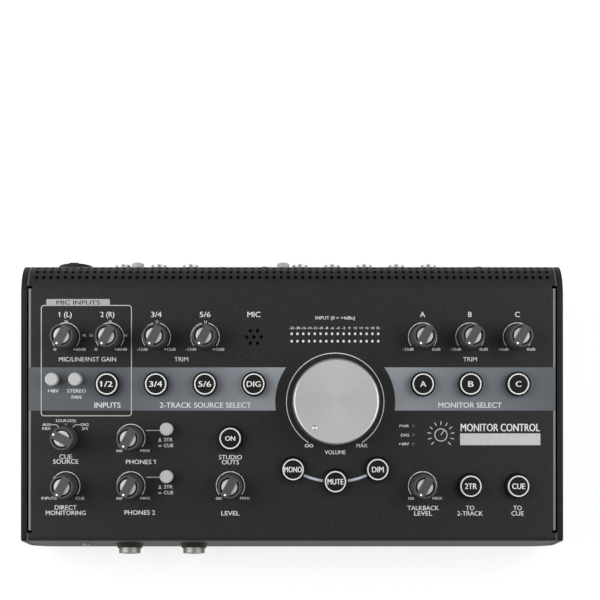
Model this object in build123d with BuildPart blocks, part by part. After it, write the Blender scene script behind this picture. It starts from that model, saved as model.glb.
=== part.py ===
"""Desktop studio monitor controller: a folded steel wedge with one large volume knob.

The case is two folded sheets. The cover is the front wall, the sloped control panel and the
rear wall in one piece, and the base is the floor with both side walls. Millimetres, +Z up,
+Y to the rear, +X to the right, origin on the table under the middle of the whole object.
"""

import os
from math import cos, radians, sin, tan

from build123d import *

os.makedirs("parts", exist_ok=True)

# ---------------------------------------------------------------- driving dimensions
WIDTH = 300.0             # over the side walls
CASE_DEPTH = 154.0        # front wall to rear wall
FRONT_HEIGHT = 45.0       # table to the front edge of the panel
SLOPE = 9.0               # degrees, the panel rises to the rear
FOOT_HEIGHT = 3.0
FRONT_PROUD = 5.2         # phones jacks stand this far out of the front wall
REAR_PROUD = 4.4          # push caps stand this far out of the rear wall

COVER_SHEET = 1.2
BASE_SHEET = 2.4
LINER_SHEET = 0.8
FRONT_BEND = 2.4          # outer radius between front wall and panel
REAR_BEND = 17.0          # outer radius between panel and rear wall
BASE_BEND = 13.0          # outer radius between floor and side walls
SEAM = 0.1                # gap between the cover and the liners

HOLE_PITCH = 4.0          # perforation along the width
HOLE_COLUMNS = 72
HOLE_RADIUS = 1.1         # over the corners of the punched octagons
HOLE_ROWS = (36.0, 51.5, 67.0)    # degrees around the rear bend, from the panel

BOARD_SHEET = 1.6
CONTROL_BOARD = -14.0     # top of the control board, measured from the panel surface
MAIN_BOARD_TOP = 11.6

SHAFT_RADIUS = 2.95
SHAFT_BORE = 3.0
HIDDEN_SIDES = 8          # holes that something covers are punched as octagons
PLUG_BORE = 3.2           # 6.35 mm plugs
SMALL_PLUG_BORE = 1.8     # 3.5 mm plugs

FRONT = -(FRONT_PROUD + CASE_DEPTH + REAR_PROUD) / 2 + FRONT_PROUD
REAR = FRONT + CASE_DEPTH
FLOOR = FOOT_HEIGHT + BASE_SHEET
WALL = WIDTH / 2 - BASE_SHEET              # inner face of a side wall
COVER_HALF = WALL - LINER_SHEET - SEAM     # half the width of the cover

# Rows and columns of the panel: x from the middle, s up the slope from the front edge.
ROW_TRIM = 112.7
ROW_SELECT = 86.6
ROW_PHONES = 56.6
ROW_FRONT = 30.3
LEFT_COLUMN = -125.2
PHONES_COLUMN = -89.2
STUDIO_COLUMN = -34.1
SOURCE_COLUMN, SOURCE_PITCH = -102.1, 27.0
MONITOR_COLUMN, MONITOR_PITCH = 72.25, 26.25
VOLUME = (23.9, 76.8)
MUTE_CIRCLE, MUTE_STEP = 44.0, 32.0        # the three buttons around the volume knob

LOW_STOP = 240.8          # degrees, where a pointer stands with its control turned down
KNOBS = {
    "gain_knob_1": (-125.4, ROW_TRIM, LOW_STOP),
    "gain_knob_2": (-101.0, ROW_TRIM, LOW_STOP),
    "trim_knob_3_4": (SOURCE_COLUMN + SOURCE_PITCH, ROW_TRIM, LOW_STOP),
    "trim_knob_5_6": (SOURCE_COLUMN + 2 * SOURCE_PITCH, ROW_TRIM, LOW_STOP),
    "monitor_trim_knob_a": (MONITOR_COLUMN, ROW_TRIM, LOW_STOP),
    "monitor_trim_knob_b": (MONITOR_COLUMN + MONITOR_PITCH, ROW_TRIM, LOW_STOP),
    "monitor_trim_knob_c": (MONITOR_COLUMN + 2 * MONITOR_PITCH, ROW_TRIM, LOW_STOP),
    "phones_knob_1": (PHONES_COLUMN, ROW_PHONES, LOW_STOP),
    "phones_knob_2": (PHONES_COLUMN, ROW_FRONT, LOW_STOP),
    "direct_monitor_knob": (LEFT_COLUMN, ROW_FRONT, LOW_STOP),
    "studio_level_knob": (STUDIO_COLUMN, ROW_FRONT, LOW_STOP),
    "talkback_level_knob": (MONITOR_COLUMN, ROW_FRONT, LOW_STOP),
    "cue_source_knob": (LEFT_COLUMN, ROW_PHONES, 152.0),
}
BUTTONS = {
    "source_button_1": (SOURCE_COLUMN, ROW_SELECT),
    "source_button_2": (SOURCE_COLUMN + SOURCE_PITCH, ROW_SELECT),
    "source_button_3": (SOURCE_COLUMN + 2 * SOURCE_PITCH, ROW_SELECT),
    "source_button_4": (SOURCE_COLUMN + 3 * SOURCE_PITCH, ROW_SELECT),
    "monitor_button_a": (MONITOR_COLUMN, ROW_SELECT),
    "monitor_button_b": (MONITOR_COLUMN + MONITOR_PITCH, ROW_SELECT),
    "monitor_button_c": (MONITOR_COLUMN + 2 * MONITOR_PITCH, ROW_SELECT),
    "studio_button": (STUDIO_COLUMN, ROW_PHONES),
    "mono_button": (
        VOLUME[0] - MUTE_CIRCLE * sin(radians(MUTE_STEP)),
        VOLUME[1] - MUTE_CIRCLE * cos(radians(MUTE_STEP)),
    ),
    "mute_button": (VOLUME[0], VOLUME[1] - MUTE_CIRCLE),
    "dim_button": (
        VOLUME[0] + MUTE_CIRCLE * sin(radians(MUTE_STEP)),
        VOLUME[1] - MUTE_CIRCLE * cos(radians(MUTE_STEP)),
    ),
    "talkback_button_track": (MONITOR_COLUMN + MONITOR_PITCH, ROW_FRONT),
    "talkback_button_cue": (MONITOR_COLUMN + 2 * MONITOR_PITCH, ROW_FRONT),
}
CAPS = {
    "phantom_cap": (-132.2, 89.2),
    "stereo_cap": (-119.4, 89.2),
    "phones_cap_1": (-69.1, 61.7),
    "phones_cap_2": (-69.1, 35.6),
}

METER_MIDDLE = (23.75, 112.45)
METER_PITCH, METER_ROWS = 3.19, 4.1
METER_WINDOW = (1.15, 1.35)
MIC = (SOURCE_COLUMN + 3 * SOURCE_PITCH, 112.7)
MIC_CIRCLE, MIC_HOLE = 4.0, 0.95
STATUS = [(67.1, 63.5), (67.1, 58.5), (67.1, 53.5)]

# Rear wall: x and z of each connector.
REAR_UPPER, REAR_LOWER = 39.2, 19.5
JACK_COLUMNS = (-96.7, -76.1, -58.0, 4.6, 23.0, 41.4, 59.8, 78.2)
REAR_JACKS = [(x, z) for x in JACK_COLUMNS for z in (REAR_UPPER, REAR_LOWER)]
COMBOS = [(-123.7, 38.2), (-123.7, 16.0)]
FOOTSWITCH = (-40.0, 37.0)
REAR_CAPS = {"level_cap_left": (-87.95, 42.3), "level_cap_right": (-5.0, 42.3)}
USB = (98.5, 24.0)
POWER_INLET = (114.0, 24.0)
POWER_SWITCH = (133.0, 27.0)
REAR_SCREWS = [(-15.6, 44.0), (106.1, 44.0)]

# Front wall.
FRONT_LINE = 22.0
PHONES_JACKS = (-92.0, -55.6)
SMALL_JACK = -116.4

# ---------------------------------------------------------------- planes
RISE, RUN = sin(radians(SLOPE)), cos(radians(SLOPE))
NORMAL = Vector(0, -RISE, RUN)
PANEL = Plane(origin=(0, FRONT, FRONT_HEIGHT), x_dir=(1, 0, 0), z_dir=NORMAL)
FRONT_WALL = Plane(origin=(0, FRONT, 0), x_dir=(1, 0, 0), z_dir=(0, -1, 0))
REAR_WALL = Plane(origin=(0, REAR, 0), x_dir=(-1, 0, 0), z_dir=(0, 1, 0))
BEND_START = CASE_DEPTH / RUN - REAR_BEND * tan(radians((90 + SLOPE) / 2))
BEND_CENTRE = PANEL.from_local_coords(Vector(0, BEND_START, -REAR_BEND))


def control_plane(x, s, turn=0.0):
    """Plane on the panel surface at one control, its x axis turned by so many degrees."""
    across = Vector(cos(radians(turn)), sin(radians(turn)) * RUN, sin(radians(turn)) * RISE)
    return Plane(origin=PANEL.from_local_coords(Vector(x, s, 0)), x_dir=across, z_dir=NORMAL)


def upright(plane):
    """The plane that holds a control's axis as its y, for turned profiles."""
    return Plane(origin=plane.origin, x_dir=plane.x_dir, z_dir=-plane.y_dir)


def mirrored(points):
    """Rear wall positions as seen from behind, where x runs the other way."""
    return [(-x, z) for x, z in points]


def finish(piece, name):
    """Labels a finished piece and writes it."""
    piece.part.label = name
    export_step(piece.part, f"parts/{name}.step")


def side_outline(inset, bottom, front_radius, rear_radius):
    """Side view of the case, drawn this far inside the outer faces."""
    front = FRONT + inset
    rear = REAR - inset
    drop = inset / RUN
    front_top = FRONT_HEIGHT + inset * tan(radians(SLOPE)) - drop
    rear_top = FRONT_HEIGHT + (rear - FRONT) * tan(radians(SLOPE)) - drop
    with BuildSketch() as outline:
        with BuildLine():
            Polyline((front, bottom), (front, front_top), (rear, rear_top), (rear, bottom), close=True)
        make_face()
        fillet(outline.vertices().sort_by(Axis.Y)[-1], rear_radius)
        fillet(outline.vertices().filter_by_position(Axis.X, front, front).sort_by(Axis.Y)[-1], front_radius)
    return outline.sketch


# ---------------------------------------------------------------- the folded cover
FLANGE_FACE = COVER_HALF - 0.6     # outer face of a down-turned side flange
FLANGE_BEND = 1.5
FLANGE_DEPTH = 8.0
FLANGE_START, FLANGE_END = 5.8, 139.6
NOTCH = 1.5                        # length of the relief notch at each end of a flange
TAB_LENGTH, TAB_WIDTH = 10.0, 16.0
TAB_COLUMNS = (-100.0, 0.0, 100.0)
SCREW_INSET = 6.0

bend_line = FLANGE_FACE - FLANGE_BEND
inner_face = FLANGE_FACE - COVER_SHEET
flange_plane = Plane(
    origin=PANEL.from_local_coords(Vector(0, FLANGE_START, 0)), x_dir=(1, 0, 0), z_dir=-PANEL.y_dir
)
# Both side flanges, turned down from the panel; their rear ends follow the rear bend.
with BuildPart() as side_flanges:
    with BuildSketch(flange_plane):
        with BuildLine():
            RadiusArc((bend_line, 0), (FLANGE_FACE, -FLANGE_BEND), FLANGE_BEND)
            Line((FLANGE_FACE, -FLANGE_BEND), (FLANGE_FACE, -FLANGE_DEPTH))
            Line((FLANGE_FACE, -FLANGE_DEPTH), (inner_face, -FLANGE_DEPTH))
            Line((inner_face, -FLANGE_DEPTH), (inner_face, -FLANGE_BEND))
            RadiusArc((inner_face, -FLANGE_BEND), (bend_line, -COVER_SHEET), COVER_SHEET - FLANGE_BEND)
            Line((bend_line, -COVER_SHEET), (bend_line, 0))
        make_face()
        mirror(about=Plane.YZ)
    extrude(amount=FLANGE_START - FLANGE_END)
    with BuildSketch(Plane.YZ):
        add(side_outline(0, FLOOR, FRONT_BEND, REAR_BEND))
    extrude(amount=WIDTH / 2, both=True, mode=Mode.INTERSECT)

with BuildPart() as top_cover:
    with BuildSketch(Plane.YZ):
        add(side_outline(0, FLOOR, FRONT_BEND, REAR_BEND))
        add(
            side_outline(COVER_SHEET, FLOOR, FRONT_BEND - COVER_SHEET, REAR_BEND - COVER_SHEET),
            mode=Mode.SUBTRACT,
        )
    extrude(amount=COVER_HALF, both=True)
    # The lower corners of the front and rear walls follow the bends of the base.
    with BuildSketch(Plane.XZ) as silhouette:
        with Locations((0, FLOOR)):
            Rectangle(2 * COVER_HALF, 2 * FRONT_HEIGHT, align=(Align.CENTER, Align.MIN))
        fillet(silhouette.vertices().group_by(Axis.Y)[0], BASE_BEND - BASE_SHEET - 1.1)
    extrude(amount=CASE_DEPTH, both=True, mode=Mode.INTERSECT)
    # Side slots, with a round relief notch at each end of the flange.
    slot_width = COVER_HALF - FLANGE_FACE + FLANGE_BEND
    with BuildSketch(PANEL.offset(3)):
        for side in (-1, 1):
            with Locations((side * (COVER_HALF - slot_width / 2 + 0.5), (FLANGE_START + FLANGE_END) / 2)):
                Rectangle(slot_width + 1, FLANGE_END - FLANGE_START + 2 * NOTCH)
            with Locations(
                (side * bend_line, FLANGE_START - NOTCH / 2), (side * bend_line, FLANGE_END + NOTCH / 2)
            ):
                Circle(NOTCH / 2)
    extrude(amount=-8, mode=Mode.SUBTRACT)
    add(side_flanges.part)
    # Tabs turned in along the floor, for the screws that hold the base.
    with BuildSketch(Plane.XY.offset(FLOOR)):
        with Locations(*[(x, FRONT + TAB_LENGTH / 2) for x in TAB_COLUMNS]):
            Rectangle(TAB_WIDTH, TAB_LENGTH)
        with Locations(*[(x, REAR - TAB_LENGTH / 2) for x in TAB_COLUMNS]):
            Rectangle(TAB_WIDTH, TAB_LENGTH)
    extrude(amount=COVER_SHEET)
    with BuildSketch(Plane.XY.offset(FLOOR)):
        with Locations(*[(x, y) for x in TAB_COLUMNS for y in (FRONT + SCREW_INSET, REAR - SCREW_INSET)]):
            RegularPolygon(1.55, HIDDEN_SIDES, major_radius=False)
    extrude(amount=COVER_SHEET, mode=Mode.SUBTRACT)
    # Three rows of ventilation holes, drilled square to the rear bend.
    for angle in HOLE_ROWS:
        tilt = radians(angle - SLOPE)
        outward = Vector(0, sin(tilt), cos(tilt))
        with BuildSketch(Plane(origin=BEND_CENTRE + outward * REAR_BEND, x_dir=(1, 0, 0), z_dir=outward)):
            with GridLocations(HOLE_PITCH, 1, HOLE_COLUMNS, 1):
                RegularPolygon(HOLE_RADIUS, 8, rotation=22.5)
        extrude(amount=2.0, both=True, mode=Mode.SUBTRACT)
    # Openings of the control panel.
    with BuildSketch(PANEL.offset(1)):
        with Locations(*[(x, s) for x, s, turn in KNOBS.values()], VOLUME):
            RegularPolygon(3.7, HIDDEN_SIDES, major_radius=False)
        with Locations(*BUTTONS.values()):
            Circle(7.35)
        with Locations(*CAPS.values()):
            Circle(3.95)
        with Locations(METER_MIDDLE):
            with GridLocations(METER_PITCH, METER_ROWS, 16, 2):
                Rectangle(*METER_WINDOW)
        with Locations(MIC):
            RegularPolygon(MIC_HOLE, 8)
            with PolarLocations(MIC_CIRCLE, 6):
                RegularPolygon(MIC_HOLE, 8)
        with Locations(*STATUS):
            Circle(1.0)
    extrude(amount=-4, mode=Mode.SUBTRACT)
    # Openings of the front wall.
    with BuildSketch(FRONT_WALL.offset(1)):
        with Locations(*[(x, FRONT_LINE) for x in PHONES_JACKS]):
            RegularPolygon(6.2, HIDDEN_SIDES, major_radius=False)
        with Locations((SMALL_JACK, FRONT_LINE)):
            Circle(3.0)
    extrude(amount=-3, mode=Mode.SUBTRACT)
    # Openings of the rear wall.
    with BuildSketch(REAR_WALL.offset(1)):
        with Locations(*mirrored(REAR_JACKS), *mirrored([FOOTSWITCH])):
            Circle(4.6)
        with Locations(*mirrored(COMBOS)):
            RegularPolygon(9.9, 16, major_radius=False)
        with Locations(*mirrored(REAR_CAPS.values())):
            Circle(3.9)
        with Locations(*mirrored(REAR_SCREWS)):
            RegularPolygon(1.55, HIDDEN_SIDES, major_radius=False)
        with Locations(*mirrored([USB])):
            Rectangle(12.3, 11.2)
        with Locations(*mirrored([POWER_INLET])):
            Circle(4.6)
        with Locations(*mirrored([POWER_SWITCH])):
            Rectangle(12.6, 19.4)
    extrude(amount=-3, mode=Mode.SUBTRACT)
finish(top_cover, "top_cover")

# ---------------------------------------------------------------- the base and its side walls
with BuildPart() as base_chassis:
    with BuildSketch(Plane.XZ.offset(-REAR)) as channel:
        with Locations((0, FOOT_HEIGHT)):
            Rectangle(WIDTH, 2 * FRONT_HEIGHT, align=(Align.CENTER, Align.MIN))
        fillet(channel.vertices().group_by(Axis.Y)[0], BASE_BEND)
    extrude(amount=CASE_DEPTH)
    with BuildSketch(Plane.XZ.offset(-REAR)) as channel_inside:
        with Locations((0, FLOOR)):
            Rectangle(2 * WALL, 2 * FRONT_HEIGHT, align=(Align.CENTER, Align.MIN))
        fillet(channel_inside.vertices().group_by(Axis.Y)[0], BASE_BEND - BASE_SHEET)
    extrude(amount=CASE_DEPTH, mode=Mode.SUBTRACT)
    with BuildSketch(Plane.YZ.offset(-WIDTH)):
        add(side_outline(0, 0, FRONT_BEND, REAR_BEND))
    extrude(amount=2 * WIDTH, mode=Mode.INTERSECT)
    with BuildSketch(Plane.XY.offset(FOOT_HEIGHT)):
        with Locations(*[(x, y) for x in TAB_COLUMNS for y in (FRONT + SCREW_INSET, REAR - SCREW_INSET)]):
            RegularPolygon(1.6, HIDDEN_SIDES, major_radius=False)
    extrude(amount=BASE_SHEET, mode=Mode.SUBTRACT)
finish(base_chassis, "base_chassis")

LINER_DEPTH = 10.0
with BuildPart() as side_liners:
    for side in (-1, 1):
        with BuildSketch(Plane.YZ.offset(side * (WALL - LINER_SHEET / 2))):
            add(side_outline(0.2, 26, FRONT_BEND - 0.2, REAR_BEND - 0.2))
            add(
                side_outline(LINER_DEPTH, 25, 1.0, REAR_BEND - LINER_DEPTH),
                mode=Mode.SUBTRACT,
            )
        extrude(amount=LINER_SHEET / 2, both=True)
finish(side_liners, "side_liners")

FOOT_PLACES = [(x, y) for x in (-118.0, 118.0) for y in (FRONT + 20, REAR - 20)]
with BuildPart() as rubber_feet:
    with BuildSketch():
        with Locations(*FOOT_PLACES):
            Circle(8.0)
    extrude(amount=FOOT_HEIGHT, taper=-6)
finish(rubber_feet, "rubber_feet")

SCREW_HEAD = 2.7
with BuildPart() as case_screws:
    with BuildSketch(Plane.XY.offset(FOOT_HEIGHT)):
        with Locations(*[(x, y) for x in TAB_COLUMNS for y in (FRONT + SCREW_INSET, REAR - SCREW_INSET)]):
            RegularPolygon(SCREW_HEAD, 12)
    extrude(amount=-1.8, taper=18)
    with BuildSketch(Plane.XY.offset(FOOT_HEIGHT)):
        with Locations(*[(x, y) for x in TAB_COLUMNS for y in (FRONT + SCREW_INSET, REAR - SCREW_INSET)]):
            RegularPolygon(1.5, 6)
    extrude(amount=6.0)
    with BuildSketch(REAR_WALL):
        with Locations(*mirrored(REAR_SCREWS)):
            RegularPolygon(SCREW_HEAD, 12)
    extrude(amount=1.8, taper=18)
    with BuildSketch(REAR_WALL):
        with Locations(*mirrored(REAR_SCREWS)):
            RegularPolygon(1.5, 6)
    extrude(amount=-6.0)
finish(case_screws, "case_screws")

# ---------------------------------------------------------------- circuit boards
BOARD_START, BOARD_END, BOARD_HALF = 14.0, 128.0, 139.0
PANEL_STUDS = [(-137.0, 70.0), (-110.0, 72.0), (0.0, 60.0), (-55.0, 20.0), (60.0, 95.0), (137.0, 60.0)]
MAIN_LEFT, MAIN_RIGHT, MAIN_FRONT, MAIN_REAR = -108.0, 138.0, -60.0, 62.0
MAIN_STUDS = [(x, y) for x in (-80.0, 20.0, 120.0) for y in (-50.0, 30.0)]

with BuildPart() as control_board:
    with BuildSketch(PANEL.offset(CONTROL_BOARD)):
        with Locations((0, (BOARD_START + BOARD_END) / 2)):
            Rectangle(2 * BOARD_HALF, BOARD_END - BOARD_START)
    extrude(amount=-BOARD_SHEET)
finish(control_board, "control_board")

with BuildPart() as main_board:
    with BuildSketch(Plane.XY.offset(MAIN_BOARD_TOP)):
        with Locations(((MAIN_LEFT + MAIN_RIGHT) / 2, (MAIN_FRONT + MAIN_REAR) / 2)):
            Rectangle(MAIN_RIGHT - MAIN_LEFT, MAIN_REAR - MAIN_FRONT)
    extrude(amount=-BOARD_SHEET)
finish(main_board, "main_board")

with BuildPart() as board_standoffs:
    with BuildSketch(Plane.XY.offset(FLOOR)):
        with Locations(*MAIN_STUDS):
            RegularPolygon(radius=3.2, side_count=6)
    extrude(amount=MAIN_BOARD_TOP - BOARD_SHEET - FLOOR)
    with BuildSketch(PANEL.offset(CONTROL_BOARD)):
        with Locations(*PANEL_STUDS):
            RegularPolygon(radius=2.6, side_count=6)
    extrude(amount=-CONTROL_BOARD - COVER_SHEET)
finish(board_standoffs, "board_standoffs")

# ---------------------------------------------------------------- controls under the panel
POT_BODY = (9.5, 10.5)
POT_HEIGHT = 6.5
BUSHING_TOP = -2.0
SHAFT_FOOT = CONTROL_BOARD + 1.4
POTS = [(x, s) for name, (x, s, turn) in KNOBS.items() if name != "cue_source_knob"]


def shaft_seats(places, body, height, bushing):
    """Bodies on the control board, each with a bushing and a bore for its shaft."""
    with BuildPart() as seats:
        with BuildSketch(PANEL.offset(CONTROL_BOARD)):
            with Locations(*places):
                Rectangle(*body)
        extrude(amount=height)
        with BuildSketch(PANEL.offset(CONTROL_BOARD + height)):
            with Locations(*places):
                RegularPolygon(bushing, HIDDEN_SIDES, major_radius=False)
        extrude(amount=BUSHING_TOP - CONTROL_BOARD - height)
        with BuildSketch(PANEL.offset(BUSHING_TOP)):
            with Locations(*places):
                Circle(SHAFT_BORE)
        extrude(amount=SHAFT_FOOT - BUSHING_TOP - 0.3, mode=Mode.SUBTRACT)
    return seats


finish(shaft_seats(POTS, POT_BODY, POT_HEIGHT, 3.9), "pot_bodies")
finish(shaft_seats([VOLUME], (16.0, 17.0), 8.0, 4.5), "volume_pot")
finish(shaft_seats([KNOBS["cue_source_knob"][:2]], (15.0, 15.0), 7.5, 4.5), "cue_switch_body")

CAP_TRAVEL = 2.5
STEM_FOOT = -9.0
BUTTON_STEM, CAP_STEM, STEM_PLAY = 3.6, 2.6, 0.1


def plunger_seats(places, side, slot):
    """Push switches on the control board, each open to the square stem that it carries."""
    with BuildPart() as seats:
        with BuildSketch(PANEL.offset(CONTROL_BOARD)):
            with Locations(*places):
                Rectangle(side, side)
        extrude(amount=6.5)
        with BuildSketch(PANEL.offset(CONTROL_BOARD + 6.5)):
            with Locations(*places):
                Rectangle(slot, slot)
        extrude(amount=STEM_FOOT - CAP_TRAVEL - 0.5 - CONTROL_BOARD - 6.5, mode=Mode.SUBTRACT)
    return seats


finish(plunger_seats(BUTTONS.values(), 11.0, BUTTON_STEM + STEM_PLAY), "button_switches")

REAR_CAP_SEAT = 7.0       # rear wall to the front of the level switch
panel_switches = plunger_seats(CAPS.values(), 8.0, CAP_STEM + STEM_PLAY)
with BuildPart() as latching_switches:
    add(panel_switches.part)
    with BuildSketch(REAR_WALL.offset(-REAR_CAP_SEAT)):
        with Locations(*mirrored(REAR_CAPS.values())):
            Rectangle(5.0, 7.0)
    extrude(amount=-12.0)
    with BuildSketch(REAR_WALL.offset(-REAR_CAP_SEAT)):
        with Locations(*mirrored(REAR_CAPS.values())):
            Rectangle(CAP_STEM + STEM_PLAY, CAP_STEM + STEM_PLAY)
    extrude(amount=-6.0, mode=Mode.SUBTRACT)
finish(latching_switches, "latching_switches")

with BuildPart() as meter_light_bar:
    with BuildSketch(PANEL.offset(-3.2)):
        with Locations(METER_MIDDLE):
            Rectangle(16 * METER_PITCH, 8.0)
    extrude(amount=1.9)
    with BuildSketch(PANEL.offset(-1.3)):
        with Locations(METER_MIDDLE):
            with GridLocations(METER_PITCH, METER_ROWS, 16, 2):
                Rectangle(METER_WINDOW[0] - 0.1, METER_WINDOW[1] - 0.1)
    extrude(amount=1.25)
    with BuildSketch(PANEL.offset(-3.2)):
        with Locations((METER_MIDDLE[0] - 22, METER_MIDDLE[1]), (METER_MIDDLE[0] + 22, METER_MIDDLE[1])):
            RegularPolygon(1.5, HIDDEN_SIDES)
    extrude(amount=CONTROL_BOARD + 3.2)
finish(meter_light_bar, "meter_light_bar")

with BuildPart() as status_leds:
    with BuildSketch(PANEL.offset(CONTROL_BOARD)):
        with Locations(*STATUS):
            Circle(0.95)
    extrude(amount=-CONTROL_BOARD + 0.1)
finish(status_leds, "status_leds")

with BuildPart() as talkback_mic:
    with BuildSketch(PANEL.offset(-COVER_SHEET - 0.3)):
        with Locations(MIC):
            Circle(MIC_CIRCLE + 1.4)
    extrude(amount=-4.5)
    with BuildSketch(PANEL.offset(-COVER_SHEET - 4.8)):
        with Locations(MIC):
            RegularPolygon(1.2, HIDDEN_SIDES)
    extrude(amount=CONTROL_BOARD + COVER_SHEET + 4.8)
finish(talkback_mic, "talkback_mic")

# ---------------------------------------------------------------- knobs
KNOB_GAP = 0.8            # knob to panel
KNOB_FOOT_RADIUS, KNOB_RADIUS, DISH_RADIUS = 6.75, 6.3, 5.3
KNOB_FLOOR = 15.2         # floor of the dish that the bright insert lies in
KNOB_RIM = 16.6
KNOB_BAR = 17.1
BAR_LENGTH, BAR_WIDTH = 11.7, 4.6


def pointer_knob(x, s, turn):
    """A small knob with its metal shaft: a dished top and a square-ended pointer bar across it."""
    base = control_plane(x, s, turn)
    with BuildPart() as knob:
        with BuildSketch(upright(base)):
            with BuildLine():
                Polyline(
                    (0, SHAFT_FOOT),
                    (SHAFT_RADIUS, SHAFT_FOOT),
                    (SHAFT_RADIUS, KNOB_GAP),
                    (KNOB_FOOT_RADIUS, KNOB_GAP),
                    (KNOB_RADIUS, KNOB_RIM - 0.4),
                    (KNOB_RADIUS - 0.3, KNOB_RIM),
                    (DISH_RADIUS, KNOB_RIM),
                    (DISH_RADIUS, KNOB_FLOOR),
                    (0, KNOB_FLOOR),
                    close=True,
                )
            make_face()
        revolve(axis=Axis(base.origin, NORMAL))
        # The rim stops where the ends of the bar cross it.
        with BuildSketch(base.offset(KNOB_FLOOR)):
            with GridLocations(BAR_LENGTH + 2.0, 0, 2, 1):
                Rectangle(2.0, 3 * BAR_WIDTH)
        extrude(amount=KNOB_BAR - KNOB_FLOOR, mode=Mode.SUBTRACT)
        with BuildSketch(base.offset(KNOB_FLOOR)):
            Rectangle(BAR_LENGTH, BAR_WIDTH)
        extrude(amount=KNOB_BAR - KNOB_FLOOR)
    return knob


for name, (x, s, turn) in KNOBS.items():
    finish(pointer_knob(x, s, turn), name)

VOLUME_RADIUS = 24.0
VOLUME_TOP = 19.5
VOLUME_DIMPLE = (18.3, 230.5)     # radius and angle of the pointer dimple
volume_base = control_plane(*VOLUME, VOLUME_DIMPLE[1])
with BuildPart() as volume_knob:
    with BuildSketch(upright(volume_base)):
        with BuildLine():
            Polyline(
                (0, SHAFT_FOOT),
                (SHAFT_RADIUS, SHAFT_FOOT),
                (SHAFT_RADIUS, 1.0),
                (VOLUME_RADIUS, 1.0),
                (VOLUME_RADIUS - 0.4, VOLUME_TOP - 1.4),
                (VOLUME_RADIUS - 0.8, VOLUME_TOP - 0.4),
                (VOLUME_RADIUS - 1.3, VOLUME_TOP),
                (VOLUME_RADIUS - 1.7, VOLUME_TOP - 0.2),
                (0, VOLUME_TOP - 0.2),
                close=True,
            )
        make_face()
    revolve(axis=Axis(volume_base.origin, NORMAL))
    with Locations(volume_base.offset(VOLUME_TOP + 0.9)):
        with Locations((VOLUME_DIMPLE[0], 0)):
            Sphere(1.8, mode=Mode.SUBTRACT)
finish(volume_knob, "volume_knob")

# ---------------------------------------------------------------- buttons and caps


def push_cap(plane, radius, top, skirt, stem):
    """A round cap with a bevelled top, on the square stem that works its switch."""
    edge = 0.5
    with BuildPart() as cap:
        with BuildSketch(upright(plane)):
            with BuildLine():
                Polyline(
                    (0, skirt),
                    (radius, skirt),
                    (radius, top - edge),
                    (radius - edge, top),
                    (0, top),
                    close=True,
                )
            make_face()
        revolve(axis=Axis(plane.origin, plane.z_dir))
        with BuildSketch(plane.offset(STEM_FOOT)):
            Rectangle(stem, stem)
        extrude(amount=skirt - STEM_FOOT)
    return cap


for name, (x, s) in BUTTONS.items():
    finish(push_cap(control_plane(x, s), 6.9, 4.2, -2.6, BUTTON_STEM), name)
for name, (x, s) in CAPS.items():
    finish(push_cap(control_plane(x, s), 3.55, 7.0, -3.0, CAP_STEM), name)
for name, (x, z) in REAR_CAPS.items():
    seat = Plane(origin=(x, REAR, z), x_dir=(-1, 0, 0), z_dir=(0, 1, 0))
    finish(push_cap(seat, 3.5, REAR_PROUD, -3.0, CAP_STEM), name)

# ---------------------------------------------------------------- jacks and sockets
JACK_BODY = (10.0, 14.0)
JACK_DEPTH = 31.0
JACK_NOSE = 3.8
BUSHING = 4.4


def jack(wall, places, body, depth, bushing, nose, bore):
    """Plug sockets: a box behind the wall, a bushing through it, and a blind bore."""
    with BuildPart() as sockets:
        with BuildSketch(wall.offset(-COVER_SHEET)):
            with Locations(*places):
                Rectangle(*body)
        extrude(amount=-(depth - COVER_SHEET))
        with BuildSketch(wall.offset(-COVER_SHEET)):
            with Locations(*places):
                Circle(bushing)
        extrude(amount=nose + COVER_SHEET)
        with BuildSketch(wall.offset(nose)):
            with Locations(*places):
                Circle(bore)
        extrude(amount=-(nose + depth - 1.5), mode=Mode.SUBTRACT)
    return sockets


finish(
    jack(REAR_WALL, mirrored(REAR_JACKS), JACK_BODY, JACK_DEPTH, BUSHING, JACK_NOSE, PLUG_BORE),
    "rear_jacks",
)
with BuildPart() as rear_jack_nuts:
    with BuildSketch(REAR_WALL):
        with Locations(*mirrored(REAR_JACKS)):
            RegularPolygon(radius=6.3, side_count=6)
            Circle(BUSHING + 0.1, mode=Mode.SUBTRACT)
    extrude(amount=2.0)
finish(rear_jack_nuts, "rear_jack_nuts")

footswitch_socket = jack(REAR_WALL, mirrored([FOOTSWITCH]), JACK_BODY, JACK_DEPTH, BUSHING, 2.8, PLUG_BORE)
with BuildPart() as footswitch_jack:
    add(footswitch_socket.part)
    with BuildSketch(REAR_WALL):
        with Locations(*mirrored([FOOTSWITCH])):
            Circle(5.9)
            Circle(BUSHING - 0.1, mode=Mode.SUBTRACT)
    extrude(amount=1.8)
finish(footswitch_jack, "footswitch_jack")

PHONES_BUSHING = 6.1
phones_places = [(x, FRONT_LINE) for x in PHONES_JACKS]
finish(
    jack(FRONT_WALL, phones_places, (14.0, 14.0), JACK_DEPTH, PHONES_BUSHING, FRONT_PROUD, PLUG_BORE),
    "phones_jacks",
)
with BuildPart() as phones_jack_collars:
    for x in PHONES_JACKS:
        middle = Plane(origin=(x, FRONT, FRONT_LINE), x_dir=(1, 0, 0), z_dir=(0, 0, 1))
        with BuildSketch(middle):
            with BuildLine():
                Polyline(
                    (PHONES_BUSHING + 0.05, 0), (8.2, 0), (8.0, -0.5), (6.7, -2.4),
                    (PHONES_BUSHING + 0.05, -2.4), close=True,
                )
            make_face()
        revolve(axis=Axis((x, FRONT, FRONT_LINE), (0, 1, 0)))
finish(phones_jack_collars, "phones_jack_collars")

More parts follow.
